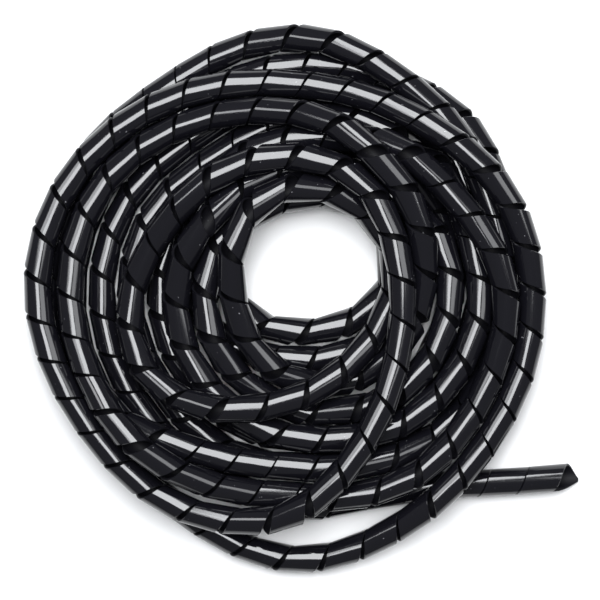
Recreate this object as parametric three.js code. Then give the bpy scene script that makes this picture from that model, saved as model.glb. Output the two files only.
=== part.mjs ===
// Spiral cable wrap, lying as one loose coil of about thirteen turns.
//
// The real thing is one extruded polyethylene tube, cut along a helix into a ribbon that
// curls round a bundle of cables. Here the tube is one closed solid of its outer size, with a
// flat-bottomed section of eight sides, carried along the true route of the coil: a straight
// tail, then turn after turn, clockwise seen from above. Each straight step of the solid is one
// turn of the helical cut long, so its corners fall where the slits of the wrap are.
//
// Millimetres, +Z up. The origin is under the middle of the coil, on the surface it lies on.

import * as THREE from 'three';

// Driving dimensions
const TUBE_DIAMETER = 10;
const CUT_PITCH = 15;
const CUT_LENGTH = 4830;
const STRAND_CLEARANCE = 0.6;
const SECTION_SIDES = 8;

// The tail, in tenths of the tube's diameter: places along its middle line, seen from above,
// from its free end to where the first turn begins
const TAIL = [[104, -67.5], [89, -69], [73, -70.5], [55, -72], [36, -74], [18, -75]];

// The turns in the order in which the cord runs. Each row starts at six o'clock and goes on
// clockwise, one station an hour. A radius is measured from the middle of the coil, in tenths of
// the tube's diameter. An order says which strand lies over which: the higher number is on top.
const TURNS = [
  {
    radius: [75, 72, 73, 73, 70, 68, 75, 72, 66, 66, 65, 64],
    order: [3, 2, 1, 1, 1, 1, 1, 1, 1, 1, 1, 1],
  },
  {
    radius: [63, 63, 63, 64, 60, 58, 64, 67, 61, 60, 56, 56],
    order: [2, 2, 2, 2, 2, 3, 4, 4, 4, 4, 3, 2],
  },
  {
    radius: [55, 54, 53, 51, 50, 49, 54, 62, 65, 70, 63, 57],
    order: [1, 1, 2, 2, 2, 2, 2, 2, 4, 5, 5, 4],
  },
  {
    radius: [52, 51, 47, 43, 44, 45, 46, 47, 54, 55, 55, 54],
    order: [5, 5, 5, 5, 4, 4, 4, 4, 4, 3, 4, 5],
  },
  {
    radius: [43, 38, 36, 36, 37, 36, 40, 41, 39, 35, 24, 18],
    order: [5, 5, 5, 5, 5, 3, 1, 1, 1, 1, 2, 2],
  },
  {
    radius: [16, 17, 21, 25, 32, 39, 51, 52, 48, 45, 36, 29],
    order: [2, 2, 1, 0, 0, 0, 0, 0, 0, 0, 0, 1],
  },
  {
    radius: [27, 29, 36, 40, 44, 50, 56, 59, 64, 76, 78, 76],
    order: [2, 2, 1, 1, 1, 2, 4, 6, 10, 14, 14, 11],
  },
  {
    radius: [73, 76, 82, 84, 83, 75, 64, 59, 49, 43, 40, 36],
    order: [9, 9, 9, 9, 9, 9, 9, 9, 9, 9, 9, 9],
  },
  {
    radius: [33, 27, 24, 24, 30, 37, 41, 41, 39, 35, 31, 32],
    order: [10, 10, 10, 10, 10, 10, 10, 10, 10, 10, 10, 10],
  },
  {
    radius: [37, 49, 65, 62, 52, 50, 48, 46, 40, 37, 40, 54],
    order: [11, 11, 11, 11, 11, 11, 12, 12, 12, 12, 12, 12],
  },
  {
    radius: [80, 91, 89, 97, 93, 82, 74, 75, 81, 83, 83, 90],
    order: [13, 13, 13, 13, 13, 13, 13, 13, 12, 10, 8, 6],
  },
  {
    radius: [102, 89, 88, 96, 90, 87, 95, 82, 77, 75, 74, 73],
    order: [5, 3, 2, 2, 1, 1, 4, 6, 6, 6, 4, 4],
  },
  {
    radius: [66, 72, 83, 85, 80, 76, 82, 86, 78, 80, 81, 81],
    order: [4, 4, 1, 0, 0, 0, 0, 0, 0, 0, 0, 0],
  },
];

// How the turns settle, with lengths in tube diameters
const STATIONS_A_TURN = 12;
const SAMPLES_A_PITCH = 3;
const SETTLING_ROUNDS = 600;
const FALL = 0.02;
const STORY = 0.6;
const NEIGHBOUR_REACH = 1.4;
const OWN_REACH = 2.5;
const STIFFNESS = 0.45;
const LAST_STIFFNESS = 0.07;
const HOMING = 0.1;
const PUSH = 0.9;
const HOLD = 8;
const TOP_ORDER = 9;

const spacing = TUBE_DIAMETER + STRAND_CLEARANCE;
const step = CUT_PITCH / SAMPLES_A_PITCH;

// Control points of the plan, each [x, y, order]. A smooth curve through control points cuts
// inside a circle, so the radii are first let out by the share that it cuts. A wrap too long for
// the rows goes round again on its last one.
function planControls(turns) {
  const unit = TUBE_DIAMETER / 10;
  const hour = (2 * Math.PI) / STATIONS_A_TURN;
  const cutIn = (2 + Math.cos(hour)) / 3;
  const points = TAIL.map(([x, y]) => [x * unit, y * unit, TURNS[0].order[0]]);
  for (let turn = 0; turn < turns; turn += 1) {
    const { radius, order } = TURNS[Math.min(turn, TURNS.length - 1)];
    for (let k = 0; k < STATIONS_A_TURN; k += 1) {
      const angle = -Math.PI / 2 - hour * k;
      const reach = (radius[k] * unit) / cutIn;
      points.push([reach * Math.cos(angle), reach * Math.sin(angle), order[k]]);
    }
  }
  return points;
}

// A uniform cubic B-spline drawn in by the control points, as a dense polyline.
function smoothLine(controls) {
  const stepsASpan = 60;
  const last = controls.length - 1;
  const before = controls[0].map((v, c) => 2 * v - controls[1][c]);
  const after = controls[last].map((v, c) => 2 * v - controls[last - 1][c]);
  const p = [before, ...controls, after];
  const line = [];
  for (let i = 0; i + 3 < p.length; i += 1) {
    for (let k = 0; k < stepsASpan; k += 1) {
      const t = k / stepsASpan;
      const weights = [
        (1 - t) ** 3 / 6,
        (3 * t ** 3 - 6 * t ** 2 + 4) / 6,
        (-3 * t ** 3 + 3 * t ** 2 + 3 * t + 1) / 6,
        t ** 3 / 6,
      ];
      line.push([0, 1, 2].map((c) => weights.reduce((sum, w, m) => sum + w * p[i + m][c], 0)));
    }
  }
  line.push(controls[last]);
  return line;
}

// Points a fixed distance apart along a polyline, measured over its first few coordinates.
function evenlySpaced(line, gap, coordinates) {
  const along = [0];
  for (let i = 1; i < line.length; i += 1) {
    let square = 0;
    for (let c = 0; c < coordinates; c += 1) square += (line[i][c] - line[i - 1][c]) ** 2;
    along.push(along[i - 1] + Math.sqrt(square));
  }
  const count = Math.floor(along[along.length - 1] / gap);
  const points = [];
  let i = 0;
  for (let k = 0; k <= count; k += 1) {
    const at = k * gap;
    while (i + 2 < along.length && along[i + 1] < at) i += 1;
    const t = (at - along[i]) / (along[i + 1] - along[i]);
    points.push(line[i].map((v, c) => v + (line[i + 1][c] - v) * t));
  }
  return points;
}

// Pairs of samples of different strands that are near each other in the plan.
function strandPairs(plan) {
  const skip = Math.ceil((OWN_REACH * TUBE_DIAMETER) / step);
  const reach = spacing + NEIGHBOUR_REACH * TUBE_DIAMETER;
  const pairs = [];
  for (let i = 0; i < plan.length; i += 1) {
    for (let j = i + skip; j < plan.length; j += 1) {
      if (Math.hypot(plan[i][0] - plan[j][0], plan[i][1] - plan[j][1]) < reach) pairs.push([i, j]);
    }
  }
  return pairs;
}

// How easily a strand is pushed aside. The upper strands keep their place and the hidden ones
// below give way.
function looseness(order) {
  return 1 / (1 + HOLD * Math.min(order / TOP_ORDER, 1) ** 2);
}

// The turns are let down together, in their order, until they rest on the surface and on each
// other: they sink, stay supple along their length, keep near their place in the plan, and push
// each other apart to one tube diameter and a clearance.
function settle(plan) {
  const n = plan.length;
  const floor = TUBE_DIAMETER / 2;
  const pairs = strandPairs(plan).map(([i, j]) => {
    const own = looseness(plan[i][2]);
    return [i, j, own / (own + looseness(plan[j][2]))];
  });
  const place = plan.map(([x, y, order]) => [x, y, floor + order * STORY * TUBE_DIAMETER]);
  for (let round = 0; round < SETTLING_ROUNDS; round += 1) {
    const ease = Math.min(1, 2 * (1 - round / SETTLING_ROUNDS)) ** 2;
    const bend = LAST_STIFFNESS + (STIFFNESS - LAST_STIFFNESS) * ease;
    const kept = 1 - HOMING * ease;
    const sink = FALL * TUBE_DIAMETER * ease;
    const off = place.map(([x, y, z], i) => [x - plan[i][0], y - plan[i][1], z - sink]);
    for (let i = 0; i < n; i += 1) {
      const inner = i > 0 && i < n - 1;
      for (let c = 0; c < 3; c += 1) {
        const curl = inner ? off[i - 1][c] - 2 * off[i][c] + off[i + 1][c] : 0;
        const value = off[i][c] + bend * curl;
        place[i][c] = c < 2 ? value * kept + plan[i][c] : value;
      }
    }
    const shift = place.map(() => [0, 0, 0]);
    for (const [i, j, share] of pairs) {
      const apart = place[j].map((v, c) => v - place[i][c]);
      const gap = Math.hypot(...apart);
      if (gap < spacing && gap > 0) {
        const push = (PUSH * (spacing - gap)) / gap;
        for (let c = 0; c < 3; c += 1) {
          const part = c < 2 ? share : 0.5;
          shift[i][c] -= apart[c] * push * part;
          shift[j][c] += apart[c] * push * (1 - part);
        }
      }
    }
    for (let i = 0; i < n; i += 1) {
      for (let c = 0; c < 3; c += 1) place[i][c] += shift[i][c];
      place[i][2] = Math.max(place[i][2], floor);
    }
  }
  return place;
}

// The plan, with as many turns as the length of the wrap needs, and no longer than the wrap.
function planLine() {
  const samples = Math.floor(CUT_LENGTH / step) + 1;
  let turns = TURNS.length;
  let plan = evenlySpaced(smoothLine(planControls(turns)), step, 2);
  while (plan.length < samples) {
    turns += 1;
    plan = evenlySpaced(smoothLine(planControls(turns)), step, 2);
  }
  return plan.slice(0, samples);
}

// Across a line of points, to its left: the upright sections' sideways direction at each point.
function sideways(line, i) {
  const behind = line[Math.max(i - 1, 0)];
  const ahead = line[Math.min(i + 1, line.length - 1)];
  const length = Math.hypot(ahead[0] - behind[0], ahead[1] - behind[1]);
  return [(behind[1] - ahead[1]) / length, (ahead[0] - behind[0]) / length];
}

// The middle line of the wrap: the settled turns, measured off in whole turns of the cut, moved
// so that the middle of the tube's outline is over the origin.
function middleLine() {
  const turnsOfCut = Math.floor(CUT_LENGTH / CUT_PITCH);
  const line = evenlySpaced(settle(planLine()), CUT_PITCH, 3).slice(0, turnsOfCut + 1);
  const middle = [0, 1].map((c) => {
    const reach = line.map((_, i) => (TUBE_DIAMETER / 2) * Math.abs(sideways(line, i)[c]));
    const highest = Math.max(...line.map((p, i) => p[c] + reach[i]));
    const lowest = Math.min(...line.map((p, i) => p[c] - reach[i]));
    return (highest + lowest) / 2;
  });
  return line.map(([x, y, z]) => [x - middle[0], y - middle[1], z]);
}

// The middle line as a curve whose cross-sections stay upright, so the lowest strands lie flat.
class UprightRoute extends THREE.Curve {
  constructor(line) {
    super();
    this.line = line;
  }

  getPoint(t) {
    const at = t * (this.line.length - 1);
    const i = Math.min(Math.floor(at), this.line.length - 2);
    const from = new THREE.Vector3(...this.line[i]);
    return from.lerp(new THREE.Vector3(...this.line[i + 1]), at - i);
  }

  getPointAt(t) {
    return this.getPoint(t);
  }

  computeFrenetFrames(segments) {
    const frames = { tangents: [], normals: [], binormals: [] };
    for (let i = 0; i <= segments; i += 1) {
      const behind = new THREE.Vector3(...this.line[Math.max(i - 1, 0)]);
      const ahead = new THREE.Vector3(...this.line[Math.min(i + 1, segments)]);
      const tangent = ahead.sub(behind).normalize();
      const normal = new THREE.Vector3(...sideways(this.line, i), 0);
      frames.tangents.push(tangent);
      frames.normals.push(normal);
      frames.binormals.push(new THREE.Vector3().crossVectors(tangent, normal));
    }
    return frames;
  }
}

// The tube's section: a regular polygon round its circle, with a flat side below and above.
function flatBottomedSection() {
  const corner = TUBE_DIAMETER / 2 / Math.cos(Math.PI / SECTION_SIDES);
  const points = [];
  for (let k = 0; k < SECTION_SIDES; k += 1) {
    const angle = (-(2 * k + 1) * Math.PI) / SECTION_SIDES;
    points.push(new THREE.Vector2(corner * Math.sin(angle), corner * Math.cos(angle)));
  }
  return new THREE.Shape(points);
}

function spiralWrap() {
  const line = middleLine();
  const geometry = new THREE.ExtrudeGeometry(flatBottomedSection(), {
    steps: line.length - 1,
    extrudePath: new UprightRoute(line),
  });
  const blackPolyethylene = new THREE.MeshStandardMaterial({
    color: 0x0b0b0c,
    roughness: 0.2,
    metalness: 0,
  });
  const mesh = new THREE.Mesh(geometry, blackPolyethylene);
  mesh.name = 'spiral_wrap';
  return mesh;
}

const group = new THREE.Group();
group.add(spiralWrap());

export default group;
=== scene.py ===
# %% [markdown]
# A coil of spiral cable wrap, seen from straight above. The real thing is a glossy black
# polyethylene tube that has been cut along a helix into one long ribbon, then wound by hand
# into a loose coil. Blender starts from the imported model, where the wrap is a plain solid tube,
# and puts the real ribbon in its place.

import math

import bpy
import numpy as np
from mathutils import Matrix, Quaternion, Vector


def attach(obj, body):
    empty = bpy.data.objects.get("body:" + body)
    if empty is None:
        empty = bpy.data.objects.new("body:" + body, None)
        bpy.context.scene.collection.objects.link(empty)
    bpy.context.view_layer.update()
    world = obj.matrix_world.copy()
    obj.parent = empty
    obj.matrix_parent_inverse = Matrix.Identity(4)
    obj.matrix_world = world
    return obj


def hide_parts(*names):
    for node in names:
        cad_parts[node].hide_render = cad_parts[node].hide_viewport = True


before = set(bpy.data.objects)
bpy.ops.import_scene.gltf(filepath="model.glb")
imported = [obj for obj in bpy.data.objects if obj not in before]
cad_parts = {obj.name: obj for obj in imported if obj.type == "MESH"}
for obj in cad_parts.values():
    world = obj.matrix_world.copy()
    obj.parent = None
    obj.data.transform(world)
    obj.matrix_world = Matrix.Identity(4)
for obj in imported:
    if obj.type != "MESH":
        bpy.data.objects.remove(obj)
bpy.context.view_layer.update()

# %% [markdown]
# The camera comes first. The photograph looks straight down on the coil with the tail at the
# lower right, so the camera hangs over the middle with +Y at the top of the picture. A long
# lens from about three coil widths away keeps the high turns only a little larger than the low
# ones, as in the photograph.

# %% Camera straight above the coil
CAMERA_HEIGHT = 0.62
SENSOR_WIDTH = 0.036
MILLIMETRES_A_PIXEL = 0.364
PICTURE_WIDTH = 600 * MILLIMETRES_A_PIXEL / 1000
MIDDLE_HEIGHT = 0.015
PICTURE_MIDDLE = (-0.0021, -0.0003)

camera_data = bpy.data.cameras.new("camera")
camera_data.sensor_width = SENSOR_WIDTH * 1000
camera_data.lens = 1000 * SENSOR_WIDTH * (CAMERA_HEIGHT - MIDDLE_HEIGHT) / PICTURE_WIDTH
camera = bpy.data.objects.new("camera", camera_data)
camera.location = (*PICTURE_MIDDLE, CAMERA_HEIGHT)
bpy.context.scene.collection.objects.link(camera)
bpy.context.scene.camera = camera
print("Lens:", round(camera_data.lens, 1), "mm")

# %% [markdown]
# Next comes the route of the cord. It is written down as a person would describe it: a tail,
# then thirteen turns, each with its distance from the middle at every hour of a clock face, and
# a number that says which strand lies on top. These are the values of the CAD model, which are
# in tenths of the tube's diameter, so here they are in millimetres.

# %% The turns of the coil
TUBE_DIAMETER = 0.010
CUT_PITCH = 0.015
CUT_LENGTH = 4.83
STRAND_CLEARANCE = 0.0006

TAIL = [(104, -67.5), (89, -69), (73, -70.5), (55, -72), (36, -74), (18, -75)]
TURNS = [
    ((75, 72, 73, 73, 70, 68, 75, 72, 66, 66, 65, 64), (3, 2, 1, 1, 1, 1, 1, 1, 1, 1, 1, 1)),
    ((63, 63, 63, 64, 60, 58, 64, 67, 61, 60, 56, 56), (2, 2, 2, 2, 2, 3, 4, 4, 4, 4, 3, 2)),
    ((55, 54, 53, 51, 50, 49, 54, 62, 65, 70, 63, 57), (1, 1, 2, 2, 2, 2, 2, 2, 4, 5, 5, 4)),
    ((52, 51, 47, 43, 44, 45, 46, 47, 54, 55, 55, 54), (5, 5, 5, 5, 4, 4, 4, 4, 4, 3, 4, 5)),
    ((43, 38, 36, 36, 37, 36, 40, 41, 39, 35, 24, 18), (5, 5, 5, 5, 5, 3, 1, 1, 1, 1, 2, 2)),
    ((16, 17, 21, 25, 32, 39, 51, 52, 48, 45, 36, 29), (2, 2, 1, 0, 0, 0, 0, 0, 0, 0, 0, 1)),
    ((27, 29, 36, 40, 44, 50, 56, 59, 64, 76, 78, 76), (2, 2, 1, 1, 1, 2, 4, 6, 10, 14, 14, 11)),
    ((73, 76, 82, 84, 83, 75, 64, 59, 49, 43, 40, 36), (9, 9, 9, 9, 9, 9, 9, 9, 9, 9, 9, 9)),
    ((33, 27, 24, 24, 30, 37, 41, 41, 39, 35, 31, 32), (10, 10, 10, 10, 10, 10, 10, 10, 10, 10, 10, 10)),
    ((37, 49, 65, 62, 52, 50, 48, 46, 40, 37, 40, 54), (11, 11, 11, 11, 11, 11, 12, 12, 12, 12, 12, 12)),
    ((80, 91, 89, 97, 93, 82, 74, 75, 81, 83, 83, 90), (13, 13, 13, 13, 13, 13, 13, 13, 12, 10, 8, 6)),
    ((102, 89, 88, 96, 90, 87, 95, 82, 77, 75, 74, 73), (5, 3, 2, 2, 1, 1, 4, 6, 6, 6, 4, 4)),
    ((66, 72, 83, 85, 80, 76, 82, 86, 78, 80, 81, 81), (4, 4, 1, 0, 0, 0, 0, 0, 0, 0, 0, 0)),
]


def plan_controls():
    """Control points (x, y, order): station k of a turn is at k hours clockwise from six
    o'clock, at its radius divided by (2 + cos 30 degrees) / 3, the share a B-spline cuts in."""
    radius = np.array([turn[0] for turn in TURNS], float).ravel() / 1000
    order = np.array([turn[1] for turn in TURNS], float).ravel()
    hour = math.pi / 6
    angle = -math.pi / 2 - hour * np.arange(radius.size)
    reach = radius / ((2 + math.cos(hour)) / 3)
    turns = np.stack([reach * np.cos(angle), reach * np.sin(angle), order], axis=1)
    tail = np.array([(x / 1000, y / 1000, order[0]) for x, y in TAIL])
    return np.vstack([tail, turns])


controls = plan_controls()
print("Control points of the plan:", len(controls))

# %% [markdown]
# A smooth curve is drawn through the neighbourhood of those points, and read off at even steps.
# Then the turns are let down together, as the hand lets a coil go: they sink, stay supple, keep
# near their place and push each other apart to one tube diameter. Working it out this way costs
# two seconds, and no strand passes through another.

# %% Smooth and evenly spaced lines


def smooth_line(points, steps):
    """A uniform cubic B-spline: each place is the sum of four control points, weighted by
    (1-t)^3, 3t^3-6t^2+4, -3t^3+3t^2+3t+1 and t^3, all over 6. The ends are mirrored."""
    p = np.vstack([2 * points[0] - points[1], points, 2 * points[-1] - points[-2]])
    t = np.arange(steps) / steps
    weights = (
        (1 - t) ** 3 / 6,
        (3 * t**3 - 6 * t**2 + 4) / 6,
        (-3 * t**3 + 3 * t**2 + 3 * t + 1) / 6,
        t**3 / 6,
    )
    spans = len(p) - 3
    line = sum(p[m : m + spans, None] * w[None, :, None] for m, w in enumerate(weights))
    return np.vstack([line.reshape(-1, points.shape[1]), points[-1]])


def length_along(line, coordinates=3):
    """Running length: the sum of the distances between neighbouring points."""
    gaps = np.linalg.norm(np.diff(line[:, :coordinates], axis=0), axis=1)
    return np.concatenate([[0], np.cumsum(gaps)])


def evenly_spaced(line, gap, coordinates=3):
    """Points at whole multiples of the gap along the polyline."""
    along = length_along(line, coordinates)
    at = gap * np.arange(math.floor(along[-1] / gap) + 1)
    return np.stack([np.interp(at, along, line[:, c]) for c in range(line.shape[1])], axis=1)


SAMPLES_A_PITCH = 3
STEPS_A_STATION = 60

sample_gap = CUT_PITCH / SAMPLES_A_PITCH
plan = evenly_spaced(smooth_line(controls, STEPS_A_STATION), sample_gap, 2)
plan = plan[: round(CUT_LENGTH / sample_gap) + 1]
print("Plan:", len(plan), "samples,", round(length_along(plan, 2)[-1], 3), "m")

# %% Let the turns settle
SETTLING_ROUNDS = 600
FALL = 0.02 * TUBE_DIAMETER
STORY = 0.6 * TUBE_DIAMETER
NEIGHBOUR_REACH = 1.4 * TUBE_DIAMETER
OWN_REACH = 2.5 * TUBE_DIAMETER
STIFFNESS = 0.45
LAST_STIFFNESS = 0.07
HOMING = 0.1
PUSH = 0.9
HOLD = 8
TOP_ORDER = 9


def settle(plan):
    """Every round moves each sample down by FALL, towards the middle of its two neighbours by
    the stiffness, home by HOMING, and away from each nearer strand by PUSH times the missing
    clearance. The lower strand of a pair gives way more. All but the push eases off to zero."""
    spacing = TUBE_DIAMETER + STRAND_CLEARANCE
    floor = TUBE_DIAMETER / 2
    n = len(plan)
    home = plan[:, :2]
    place = np.column_stack([home, floor + plan[:, 2] * STORY])
    apart = np.linalg.norm(home[:, None] - home[None], axis=2)
    near = np.triu(apart < spacing + NEIGHBOUR_REACH, k=round(OWN_REACH / sample_gap))
    i, j = np.nonzero(near)
    looseness = 1 / (1 + HOLD * np.minimum(plan[:, 2] / TOP_ORDER, 1) ** 2)
    share = looseness[i] / (looseness[i] + looseness[j])
    part = np.stack([share, share, np.full(share.size, 0.5)], axis=1)
    for k in range(SETTLING_ROUNDS):
        ease = min(1, 2 * (1 - k / SETTLING_ROUNDS)) ** 2
        bend = LAST_STIFFNESS + (STIFFNESS - LAST_STIFFNESS) * ease
        off = place - np.column_stack([home, np.full(n, FALL * ease)])
        off[1:-1] += bend * (off[:-2] - 2 * off[1:-1] + off[2:])
        off[:, :2] = off[:, :2] * (1 - HOMING * ease) + home
        away = off[j] - off[i]
        gap = np.linalg.norm(away, axis=1)
        push = away * (PUSH * np.maximum(spacing - gap, 0) / gap)[:, None]
        for c in range(3):
            back = np.bincount(i, push[:, c] * part[:, c], n)
            forth = np.bincount(j, push[:, c] * (1 - part[:, c]), n)
            off[:, c] += forth - back
        off[:, 2] = np.maximum(off[:, 2], floor)
        place = off
    return place


def sideways(line):
    """The level direction across a line at each point: the run from the point behind to the
    point ahead, turned a quarter to the left."""
    run = np.gradient(line, axis=0)[:, :2]
    across = np.stack([-run[:, 1], run[:, 0]], axis=1)
    return across / np.linalg.norm(across, axis=1)[:, None]


settled = settle(plan)
middle_line = evenly_spaced(settled, CUT_PITCH)[: int(CUT_LENGTH / CUT_PITCH + 1e-9) + 1]
half_width = np.abs(sideways(middle_line)) * TUBE_DIAMETER / 2
outline_middle = (
    (middle_line[:, :2] + half_width).max(axis=0) + (middle_line[:, :2] - half_width).min(axis=0)
) / 2
settled[:, :2] -= outline_middle
middle_line[:, :2] -= outline_middle
print("Middle line:", len(middle_line), "points, top", round(middle_line[:, 2].max(), 4), "m")

# %% [markdown]
# The ribbon is what makes this object. On the real wrap a helical cut runs along the tube, once
# round in every 15 mm, and left-handed, so each turn of ribbon is a short straight piece of tube.
# Where the wrap is bent, the cut opens like a fan on the outside of the bend and shuts on the
# inside. The shape could be made by a screw modifier and a curve modifier, but those stretch
# the ribbon like rubber. Here it is worked out as a ruled surface instead: at each angle round
# the tube lies a straight rule, as long as the ribbon is wide, along the middle line. First
# comes a finer middle line, then the place of each turn on it. The tighter the bend, the longer
# the pitch, and a slow wave makes some turns slacker than others, as handling does.

# %% A fine line along the middle of the tube
FINE_GAP = 0.001
STEPS_A_SAMPLE = 8

radius = TUBE_DIAMETER / 2
route = evenly_spaced(smooth_line(settled, STEPS_A_SAMPLE), FINE_GAP)
route = route[: round(CUT_LENGTH / FINE_GAP) + 1]
along = FINE_GAP * np.arange(len(route))
print("Route:", len(route), "points")


# %% Where each turn of the ribbon lies
RIBBON_WIDTH = 0.0136
CLOSED_GAP = 0.00015
WIDEST_PITCH = 0.0165
STEPS_A_TURN = 28
FIRST_ANGLE = math.radians(8)
TIP_ANGLE = math.radians(-60)
OPENING = 1.35
LEAST_OPENING = 0.8
SLACK_OPENING = 0.5
SLACK_WAVES = (41, 17)
TIGHTEST = 0.6
BEND_REACH = 8
BEND_SOFTNESS = 9


def softened(values, width):
    """Running mean over the sample and width more on each side, with the ends repeated."""
    padded = np.pad(values, ((width, width),) + ((0, 0),) * (values.ndim - 1), mode="edge")
    total = np.cumsum(np.concatenate([np.zeros((1,) + values.shape[1:]), padded]), axis=0)
    size = 2 * width + 1
    return (total[size:] - total[:-size]) / size


def bend_of(line, gap, reach):
    """Curvature: the length of the second difference over the square of its reach."""
    ahead = np.roll(line, -reach, axis=0)
    behind = np.roll(line, reach, axis=0)
    second = (ahead - 2 * line + behind) / (reach * gap) ** 2
    second[:reach] = second[reach]
    second[-reach:] = second[-reach - 1]
    return np.linalg.norm(second, axis=1)


bend = softened(bend_of(route, FINE_GAP, BEND_REACH), BEND_SOFTNESS)
slackness = (1 + np.sin(along * SLACK_WAVES[0]) * np.sin(along * SLACK_WAVES[1] + 1)) / 2
openness = OPENING * (LEAST_OPENING + SLACK_OPENING * slackness)
closed_share = np.maximum(1 - openness * radius * bend, TIGHTEST)
local_pitch = np.minimum((RIBBON_WIDTH + CLOSED_GAP) / closed_share, WIDEST_PITCH)
turn_number = np.concatenate([[0], np.cumsum(FINE_GAP / local_pitch[:-1])])
inner_half = RIBBON_WIDTH / 2
tip_share = (FIRST_ANGLE - TIP_ANGLE) / (2 * math.pi)
first_turn = np.interp(inner_half, along, turn_number) - tip_share
last_turn = np.interp(along[-1] - inner_half, along, turn_number)
stations = int((last_turn - first_turn) * STEPS_A_TURN)
turn_at = first_turn + np.arange(stations + 1) / STEPS_A_TURN
place_at = np.interp(turn_at, turn_number, along)
print("Turns of ribbon:", round(turn_at[-1] - turn_at[0], 1))
print("Mean pitch:", round(float(local_pitch.mean()), 5), "m")

# %% The ribbon as a ruled surface
WALL = 0.0010
CHAMFER = 0.00014
END_SLANT = 0.010


def at(line, s):
    """The line's place at the given lengths along it."""
    return np.stack([np.interp(s, along, line[:, c]) for c in range(line.shape[1])], axis=1)


def ribbon_surface():
    """Rule k is at angle FIRST_ANGLE minus one full turn for every STEPS_A_TURN rules. A point
    of the section at v along the rule and r out from the middle line is at the middle line's
    place, plus r times (sideways times cosine plus upwards times sine), plus v times the
    direction of the chord under the rule. The section goes round the ribbon's own outline.
    Before TIP_ANGLE the rules start further in, which makes the slanted end cut. A turn that
    would dip below the floor is lifted onto it, with its neighbours. The second result is each
    point's place on the tube: the cosine and the sine times r over the tube's radius, and the
    length along the tube."""
    whole = np.maximum(place_at, inner_half)
    ahead = at(route, whole + inner_half)
    behind = at(route, whole - inner_half)
    direction = ahead - behind
    direction /= np.linalg.norm(direction, axis=1)[:, None]
    centre = (ahead + behind) / 6 + at(route, whole) * 2 / 3
    centre += direction * (place_at - whole)[:, None]
    across = np.cross([0, 0, 1], direction)
    across /= np.linalg.norm(across, axis=1)[:, None]
    upwards = np.cross(direction, across)
    angle = FIRST_ANGLE - 2 * math.pi * (turn_at - turn_at[0])
    outward = across * np.cos(angle)[:, None] + upwards * np.sin(angle)[:, None]
    before_tip = np.clip((angle - TIP_ANGLE) / (FIRST_ANGLE - TIP_ANGLE), 0, 1)
    start = np.maximum(END_SLANT * before_tip - place_at, -inner_half)[:, None]
    from_edge = CHAMFER * np.array([1, 1, 0, 0, 1, 1, 0, 0])
    near_side = np.array([1, 0, 0, 0, 0, 1, 1, 1], bool)
    v = np.where(near_side, start + from_edge, inner_half - from_edge)
    depth = WALL * np.array([0, 0, 0, 1, 1, 1, 1, 0])
    depth += CHAMFER * np.array([0, 0, 1, -1, 0, 0, -1, 1])
    r = radius - depth
    points = (
        centre[:, None]
        + outward[:, None] * r[None, :, None]
        + direction[:, None] * v[:, :, None]
    )
    dip = np.pad(np.maximum(-points[:, :, 2].min(axis=1), 0), STEPS_A_TURN)
    turn = np.lib.stride_tricks.sliding_window_view(dip, 2 * STEPS_A_TURN + 1)
    points[:, :, 2] += softened(turn.max(axis=1), STEPS_A_TURN // 2)[:, None]
    on_tube = np.stack(
        [
            np.cos(angle)[:, None] * r[None] / radius,
            np.sin(angle)[:, None] * r[None] / radius,
            place_at[:, None] + v,
        ],
        axis=2,
    )
    return points, on_tube


ribbon_points, place_on_tube = ribbon_surface()
print("Ribbon points:", ribbon_points.shape)


# %% Put the ribbon into a mesh
SHARP_ANGLE = math.radians(35)


def grid_mesh(name, points):
    """Closed tube of quads from rows of section points, with one flat cap on each end. Quad
    (k, m) joins points m and m + 1 of row k to the same points of the next row."""
    rows, ring = points.shape[:2]
    k = np.arange(rows - 1)[:, None] * ring
    m = np.arange(ring)[None]
    n = (m + 1) % ring
    quads = np.stack([k + m, k + n, k + ring + n, k + ring + m], axis=2).reshape(-1, 4)
    ends = [list(range(ring))[::-1], list(range((rows - 1) * ring, rows * ring))]
    mesh = bpy.data.meshes.new(name)
    mesh.from_pydata(points.reshape(-1, 3), [], quads.tolist() + ends)
    mesh.validate()
    return mesh


ribbon_mesh = grid_mesh("cut_ribbon", ribbon_points)
place_values = ribbon_mesh.attributes.new("place_on_tube", "FLOAT_VECTOR", "POINT")
place_values.data.foreach_set("vector", place_on_tube.ravel())
ribbon_mesh.shade_smooth()
ribbon_mesh.set_sharp_from_angle(angle=SHARP_ANGLE)
ribbon = bpy.data.objects.new("cut_ribbon", ribbon_mesh)
bpy.context.scene.collection.objects.link(ribbon)
triangles = sum(len(p.vertices) - 2 for p in ribbon_mesh.polygons)
print("Ribbon triangles:", triangles)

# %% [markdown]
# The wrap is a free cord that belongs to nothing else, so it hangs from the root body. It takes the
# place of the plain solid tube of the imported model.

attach(ribbon, "root")
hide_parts("spiral_wrap")

# %% [markdown]
# The polyethylene is black all through and has the gloss of an extruded part: smooth, with very
# faint lines along the tube where the die drew it, and a few specks of dust. The bore of the
# tube is duller than its outside, which keeps the open slits dark. The lines must follow the
# tube, so the material reads the place on the tube that was stored with the mesh, not a place
# in the room. That place also tells the outside of the tube from its inside.

# %% Glossy black polyethylene
OUTER_SHARE = 0.97
INNER_SHARE = 0.90


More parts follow.
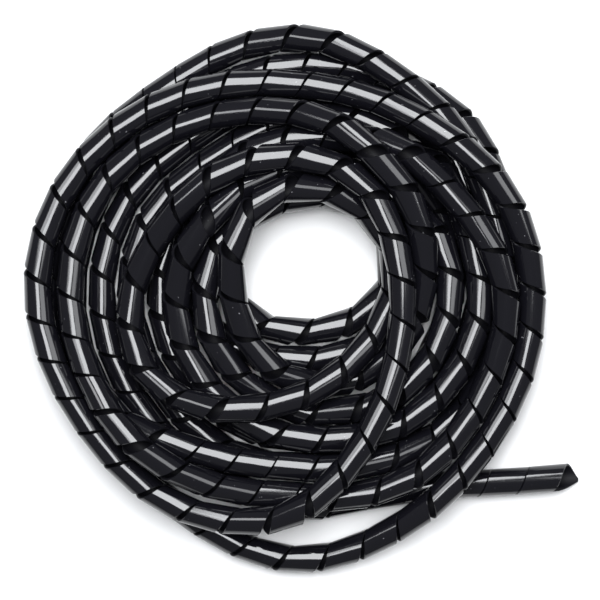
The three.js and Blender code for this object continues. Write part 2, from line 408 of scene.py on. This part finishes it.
def black_polyethylene():
    """Base nearly black. Roughness is low, varied by a noise, and higher inside the tube, where
    the distance from the axis falls below OUTER_SHARE. The bump is of the same noise. Specks
    lie where a fine noise passes a threshold."""
    material = bpy.data.materials.new("wrap_polyethylene")
    material.use_nodes = True
    nodes, links = material.node_tree.nodes, material.node_tree.links
    shader = nodes["Principled BSDF"]
    shader.inputs["IOR"].default_value = 1.52

    place = nodes.new("ShaderNodeAttribute")
    place.attribute_name = "place_on_tube"
    stretch = nodes.new("ShaderNodeVectorMath")
    stretch.operation = "MULTIPLY"
    stretch.inputs[1].default_value = (9, 9, 35)
    links.new(place.outputs["Vector"], stretch.inputs[0])

    lines = nodes.new("ShaderNodeTexNoise")
    lines.inputs["Scale"].default_value = 2.2
    lines.inputs["Detail"].default_value = 4
    links.new(stretch.outputs[0], lines.inputs["Vector"])

    gloss = nodes.new("ShaderNodeMapRange")
    gloss.inputs["From Min"].default_value = 0.35
    gloss.inputs["From Max"].default_value = 0.7
    gloss.inputs["To Min"].default_value = 0.07
    gloss.inputs["To Max"].default_value = 0.13
    links.new(lines.outputs["Fac"], gloss.inputs["Value"])

    parts = nodes.new("ShaderNodeSeparateXYZ")
    links.new(place.outputs["Vector"], parts.inputs[0])
    level = nodes.new("ShaderNodeCombineXYZ")
    links.new(parts.outputs["X"], level.inputs["X"])
    links.new(parts.outputs["Y"], level.inputs["Y"])
    depth = nodes.new("ShaderNodeVectorMath")
    depth.operation = "LENGTH"
    links.new(level.outputs[0], depth.inputs[0])
    inside = nodes.new("ShaderNodeMapRange")
    inside.inputs["From Min"].default_value = OUTER_SHARE
    inside.inputs["From Max"].default_value = INNER_SHARE
    inside.inputs["To Min"].default_value = 0
    inside.inputs["To Max"].default_value = 0.45
    links.new(depth.outputs["Value"], inside.inputs["Value"])
    dullness = nodes.new("ShaderNodeMath")
    dullness.operation = "ADD"
    links.new(gloss.outputs["Result"], dullness.inputs[0])
    links.new(inside.outputs["Result"], dullness.inputs[1])
    links.new(dullness.outputs[0], shader.inputs["Roughness"])
    mirror = nodes.new("ShaderNodeMapRange")
    mirror.inputs["From Min"].default_value = OUTER_SHARE
    mirror.inputs["From Max"].default_value = INNER_SHARE
    mirror.inputs["To Min"].default_value = 0.5
    mirror.inputs["To Max"].default_value = 0.12
    links.new(depth.outputs["Value"], mirror.inputs["Value"])
    links.new(mirror.outputs["Result"], shader.inputs["Specular IOR Level"])

    relief = nodes.new("ShaderNodeBump")
    relief.inputs["Strength"].default_value = 0.05
    relief.inputs["Distance"].default_value = 0.0002
    links.new(lines.outputs["Fac"], relief.inputs["Height"])
    links.new(relief.outputs["Normal"], shader.inputs["Normal"])

    where = nodes.new("ShaderNodeTexCoord")
    dust = nodes.new("ShaderNodeTexNoise")
    dust.inputs["Scale"].default_value = 900
    dust.inputs["Detail"].default_value = 1
    links.new(where.outputs["Object"], dust.inputs["Vector"])
    speck = nodes.new("ShaderNodeMapRange")
    speck.inputs["From Min"].default_value = 0.77
    speck.inputs["From Max"].default_value = 0.83
    links.new(dust.outputs["Fac"], speck.inputs["Value"])
    colour = nodes.new("ShaderNodeMix")
    colour.data_type = "RGBA"
    colour.inputs[6].default_value = (0.0040, 0.0039, 0.0056, 1)
    colour.inputs[7].default_value = (0.16, 0.16, 0.17, 1)
    links.new(speck.outputs["Result"], colour.inputs[0])
    links.new(colour.outputs[2], shader.inputs["Base Color"])
    return material


ribbon_mesh.materials.append(black_polyethylene())
print("Material:", ribbon_mesh.materials[0].name)

# %% [markdown]
# The photograph was taken on a white sheet under large soft lamps, and the floor is nearly
# white. What shapes a glossy black object is what it mirrors, so the lamps are placed by the
# bright strips they leave: one large lamp beyond the top edge of the picture, and two weaker
# ones, on the left and on the right. The world gives an even pale fill.

# %% Floor, lamps and fill light
FLOOR_HALF = 1.5
LAMP_DISTANCE = 0.7

floor_mesh = bpy.data.meshes.new("floor")
floor_mesh.from_pydata(
    [(x * FLOOR_HALF, y * FLOOR_HALF, 0) for x, y in ((-1, -1), (1, -1), (1, 1), (-1, 1))],
    [],
    [(0, 1, 2, 3)],
)
floor = bpy.data.objects.new("floor", floor_mesh)
bpy.context.scene.collection.objects.link(floor)

paper = bpy.data.materials.new("white_sheet")
paper.use_nodes = True
paper_shader = paper.node_tree.nodes["Principled BSDF"]
paper_shader.inputs["Base Color"].default_value = (0.80, 0.80, 0.795, 1)
paper_shader.inputs["Roughness"].default_value = 0.9
floor_mesh.materials.append(paper)


def soft_lamp(name, east, north, size, power, spin=0):
    """A rectangular lamp facing the coil, east and north degrees from straight above, and
    turned about its own axis by spin degrees."""
    data = bpy.data.lights.new(name, "AREA")
    data.shape = "RECTANGLE"
    data.size, data.size_y = size
    data.energy = power
    data.color = (0.96, 0.975, 1)
    lamp = bpy.data.objects.new(name, data)
    away = Vector((math.tan(math.radians(east)), math.tan(math.radians(north)), 1)).normalized()
    lamp.location = away * LAMP_DISTANCE
    lamp.rotation_mode = "QUATERNION"
    own_turn = Quaternion((0, 0, 1), math.radians(spin))
    lamp.rotation_quaternion = away.to_track_quat("Z", "Y") @ own_turn
    bpy.context.scene.collection.objects.link(lamp)
    return lamp


soft_lamp("main_lamp", -2, 19, (0.29, 0.68), 8.8, spin=-16)
soft_lamp("left_lamp", -26, 12, (0.17, 0.26), 1.1)
soft_lamp("right_lamp", 34, 8, (0.24, 0.50), 1.75)

world = bpy.data.worlds.new("pale_room")
world.use_nodes = True
world.node_tree.nodes["Background"].inputs["Color"].default_value = (0.92, 0.94, 1, 1)
world.node_tree.nodes["Background"].inputs["Strength"].default_value = 0.2
bpy.context.scene.world = world
bpy.context.scene.view_settings.view_transform = "Standard"
